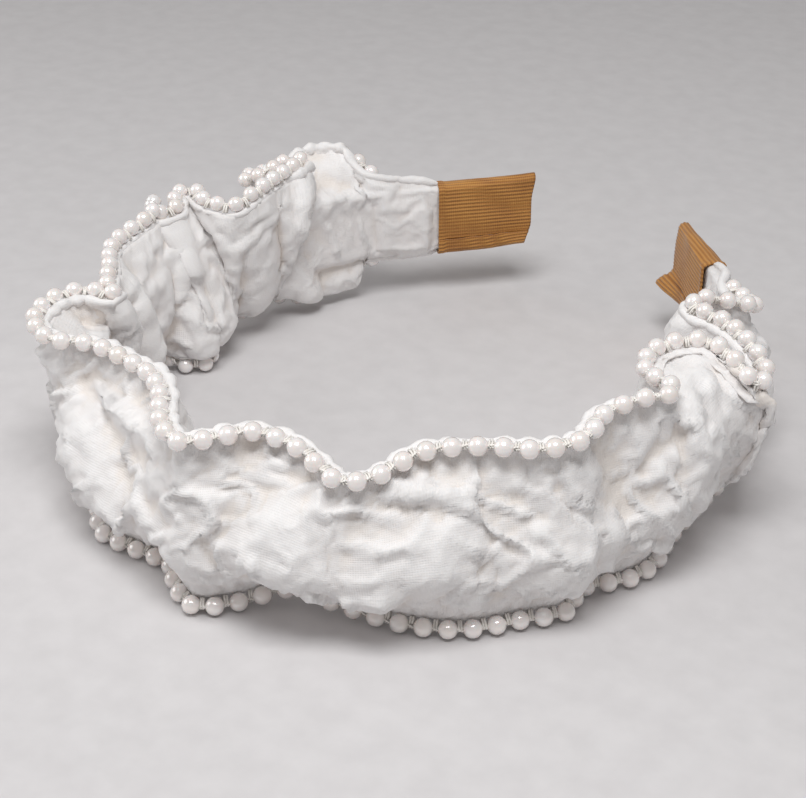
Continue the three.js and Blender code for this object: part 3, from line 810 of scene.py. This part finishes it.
def bead_row(name, hem, run_name):
    count = round(hem["run"][-1] / BEAD_PITCH)
    at = np.linspace(0, hem["run"][-1], count + 1)
    centres = resample(hem["bead"], hem["run"], at)
    ways = unit(np.gradient(centres, axis=0))
    across = unit(np.cross(ways, [0, 0, 1.0]))
    over = np.cross(across, ways)
    spots, faces = [], []
    for centre, way, side, high in zip(centres, ways, across, over):
        first = len(spots) * len(pearl_spots)
        spots.append(centre + pearl_spots @ np.array([side, high, way]))
        faces += [[first + corner for corner in face] for face in pearl_faces]
    mesh = bpy.data.meshes.new(name)
    mesh.from_pydata(in_frame(np.vstack(spots)).tolist(), [], faces)
    mesh.polygons.foreach_set("use_smooth", [True] * len(mesh.polygons))
    mesh.materials.append(pearl_finish)
    row = bpy.data.objects.new(name, mesh)
    bpy.context.scene.collection.objects.link(row)
    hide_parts(*[node for node in frame["nodes"] if node.startswith(run_name)])
    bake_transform(row)


bead_row("upper_pearls", upper_beads, "upper_beads")
bead_row("lower_pearls", lower_beads, "lower_beads")

# ---------------------------------------------------------------------------------------------
# Thread: a bundle of fine white strands through each row of beads, caught down to the hem by a
# short stitch in every gap.
STRAND = 0.24
thread_finish, shade, shader = new_finish("sewing_thread", {"Roughness": 0.45, "Sheen Weight": 0.3})
place = shade.node("ShaderNodeTexCoord", {}, {}, "Object")
fibre = shade.node("ShaderNodeTexNoise", {}, {"Vector": place, "Scale": 1800.0, "Detail": 2.0})
lint = shade.node(
    "ShaderNodeValToRGB", {"stops": [(0.3, (0.80, 0.76, 0.70)), (0.7, (0.92, 0.90, 0.87))]}, {"Fac": fibre}
)
feed(shader, "Base Color", lint)


def tube(path, radius, sides=5):
    """Rings of points round a path in millimetres, and the faces between them."""
    ways = unit(np.gradient(path, axis=0))
    across = unit(np.cross(ways, [0.13, 0.21, 1.0]))
    over = np.cross(ways, across)
    turns = np.arange(sides) * 2 * math.pi / sides
    rings = path[:, None] + radius * (
        np.cos(turns)[None, :, None] * across[:, None] + np.sin(turns)[None, :, None] * over[:, None]
    )
    count = len(path)
    faces = [
        (i * sides + k, i * sides + (k + 1) % sides, (i + 1) * sides + (k + 1) % sides, (i + 1) * sides + k)
        for i in range(count - 1) for k in range(sides)
    ]
    faces.append(tuple(range(sides))[::-1])
    faces.append(tuple((count - 1) * sides + k for k in range(sides)))
    return rings.reshape(-1, 3), faces


def thread_row(name, hem, tidiness):
    count = round(hem["run"][-1] / BEAD_PITCH)
    pitch = hem["run"][-1] / count
    gap_steps = np.array([-0.75, -0.35, 0, 0.35, 0.75])
    at = ((np.arange(count) + 0.5)[:, None] * pitch + gap_steps).ravel()
    line = {key: resample(hem[key], hem["run"], at) for key in ("bead", "stand", "rise")}
    spots, faces, total = [], [], 0

    def add(path, radius):
        nonlocal total
        ring_spots, ring_faces = tube(path, radius)
        spots.append(ring_spots)
        faces.extend([tuple(total + corner for corner in face) for face in ring_faces])
        total += len(ring_spots)

    for strand in range(3):
        turned = at * 1.3 + strand * 2 * math.pi / 3
        spread = 0.32 + 0.16 * np.array([noise.noise(Vector((a / 2.0, strand, tidiness))) for a in at])
        shift = spread[:, None] * (
            np.cos(turned)[:, None] * line["stand"] + np.sin(turned)[:, None] * line["rise"]
        )
        add(line["bead"] + shift, STRAND)
    for gap_number in range(count):
        wander = noise.noise(Vector((gap_number * 1.7, tidiness, 0)))
        for shift in (-0.28, 0.24):
            spot = (gap_number + 0.5) * pitch + shift + 0.2 * wander
            middle = np.array([spot])
            mid = {key: resample(hem[key], hem["run"], middle)[0] for key in ("bead", "stand", "rise")}
            turns = np.linspace(-0.62, 0.72, 6) * math.pi
            add(np.array([
                mid["bead"] - 1.1 * mid["stand"] + 1.65 * math.cos(turn) * mid["stand"]
                + (0.62 + 0.15 * wander) * math.sin(turn) * mid["rise"]
                for turn in turns
            ]), STRAND)
    mesh = bpy.data.meshes.new(name)
    mesh.from_pydata(in_frame(np.vstack(spots)).tolist(), [], faces)
    mesh.polygons.foreach_set("use_smooth", [True] * len(mesh.polygons))
    mesh.materials.append(thread_finish)
    row = bpy.data.objects.new(name, mesh)
    bpy.context.scene.collection.objects.link(row)
    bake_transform(row)


thread_row("upper_thread", upper_beads, 2.0)
thread_row("lower_thread", lower_beads, 5.0)

# ---------------------------------------------------------------------------------------------
# Ribbon ends: caramel grosgrain folded round each end of the band as a flat sleeve, its ribs along
# the band. The edge laps over itself near the lower fold, and the cut end stands a little open.
RIBBON_WIDTH = 25
RIBBON_RIB = 1.05
RIBBON_THICKNESS = 0.45
RIB_DEPTH = 0.075
SLEEVE_HALF = 9.55
FOLD_HALF = 1.4
LAP = 2.7
STEPS_ROUND = 210

grosgrain, shade, shader = new_finish("grosgrain", {"Sheen Weight": 0.3, "Sheen Roughness": 0.4})
cloth_way = shade.node("ShaderNodeUVMap", {"uv_map": "cloth"}, {})
along_way = shade.node("ShaderNodeSeparateXYZ", {}, {"Vector": cloth_way}, "X")
round_way = shade.node("ShaderNodeSeparateXYZ", {}, {"Vector": cloth_way}, "Y")
place = shade.node("ShaderNodeTexCoord", {}, {}, "Object")
rib = shade.node("ShaderNodeMath", {"operation": "COSINE"}, {0: round_way * (20 * math.pi / RIBBON_RIB)})
yarn = shade.node("ShaderNodeMath", {"operation": "SINE"}, {0: along_way * (20 * math.pi / 0.5)})
worn = shade.node("ShaderNodeTexNoise", {}, {"Vector": place, "Scale": 130.0, "Detail": 4.0})
# Base colour: caramel with random worn tone; the rib and yarn terms are painted shade, darker in the
# grooves between ribs and weft yarns and lighter on their crests
caramel = shade.node(
    "ShaderNodeValToRGB",
    {"stops": [(0.1, (0.22, 0.080, 0.015)), (0.45, (0.43, 0.185, 0.036)), (0.9, (0.57, 0.30, 0.08))]},
    {"Fac": rib * 0.2 + yarn * 0.08 + worn * 0.5 + 0.2},
)
feed(shader, "Base Color", caramel)
feed(shader, "Roughness", 0.55 + worn * 0.25)
ribbon_relief = rib * 0.4 + yarn * 0.12 + worn * 0.3
ribbon_bump = shade.node(
    "ShaderNodeBump", {}, {"Strength": 0.5, "Distance": 0.0003, "Height": ribbon_relief}
)
feed(shader, "Normal", ribbon_bump)


def ribbon(name, side, body, flare_low, flare_high, lift):
    """Flare is how far the cut corners open out, [along, outwards, up], and lift raises the tip."""
    start = on_band(np.array([side * (BAND_LENGTH / 2 - RIBBON_WIDTH)]), 0, CENTRE_HEIGHT)[0]
    finish = on_band(np.array([side * BAND_LENGTH / 2]), 0, CENTRE_HEIGHT)[0]
    way = unit(finish - start)
    outwards = side * np.array([way[1], -way[0], 0])
    rows = []
    shares = np.linspace(0, 1, 40)
    for share in shares:
        lip = 1 - smoothstep(share, 0.05, 0.09)
        thick = 2.75 - 1.15 * smoothstep(share, 0.15, 0.9) + 0.35 * lip
        high = SLEEVE_HALF + 0.25 * share + 0.1 * lip
        arc = np.linspace(0, math.pi, 14)
        upper_fold, lower_fold = high - FOLD_HALF, -high + 1.5
        up_face = np.linspace(lower_fold, upper_fold, 44)
        path = [(-thick, h) for h in up_face]
        path += [(-thick * math.cos(a), upper_fold + FOLD_HALF * math.sin(a)) for a in arc]
        path += [(thick, h) for h in up_face[::-1]]
        path += [
            (thick * math.cos(a) - 0.25 * (1 - math.cos(a)), lower_fold - 1.9 * math.sin(a)) for a in arc
        ]
        path += [(-thick - 0.5, h) for h in np.linspace(lower_fold, lower_fold + LAP, 8)]
        path = np.array(path)
        run = lengths_along(path)
        even = np.linspace(0, run[-1], STEPS_ROUND)
        path = resample(path, run, even)
        slope = unit(np.gradient(path, axis=0))
        face_way = np.stack([-slope[:, 1], slope[:, 0]], axis=1)
        path += RIB_DEPTH * np.cos(2 * math.pi * even / RIBBON_RIB)[:, None] * face_way
        open_end = smoothstep(share, 0.45, 1.0) ** 1.5
        low_corner = smoothstep(-path[:, 1], 3, high) * open_end
        high_corner = smoothstep(path[:, 1], 3, high) * open_end
        sag = 0.35 * np.array([noise.noise(Vector((share * 3, e / 9, side))) for e in even])
        along = share * RIBBON_WIDTH + low_corner * flare_low[0] + high_corner * flare_high[0]
        out = path[:, 0] + low_corner * flare_low[1] + high_corner * flare_high[1] + sag * share
        up = path[:, 1] + low_corner * flare_low[2] + high_corner * flare_high[2] + lift * share
        rise = up[:, None] * np.array([0, 0, 1.0])
        rows.append(start + along[:, None] * way + out[:, None] * outwards + rise)
    grid = np.array(rows)
    if side > 0:
        grid = grid[::-1]
    round_run = np.linspace(0, lengths_along(grid[0])[-1], STEPS_ROUND)
    made = sheet_from(name, grid, shares * RIBBON_WIDTH, round_run)
    layer = made.data.uv_layers["cloth"]
    uv = np.zeros(len(layer.data) * 2)
    layer.data.foreach_get("uv", uv)
    layer.data.foreach_set("uv", uv.reshape(-1, 2)[:, ::-1].ravel())
    made.data.materials.append(grosgrain)
    bpy.ops.object.select_all(action="DESELECT")
    bpy.context.view_layer.objects.active = made
    wall = made.modifiers.new("wall", "SOLIDIFY")
    wall.thickness = RIBBON_THICKNESS * MM
    wall.offset = 1
    bpy.ops.object.modifier_apply(modifier="wall")
    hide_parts(name.replace("_wrap", ""))
    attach(made, body)


ribbon("ribbon_left_wrap", -1, "left_half", (-1.7, -0.8, 1.0), (0.9, -0.2, 0.5), 0.9)
ribbon("ribbon_right_wrap", 1, "right_half", (2.6, -3.4, 0.6), (1.0, 0.9, -1.2), 0.0)
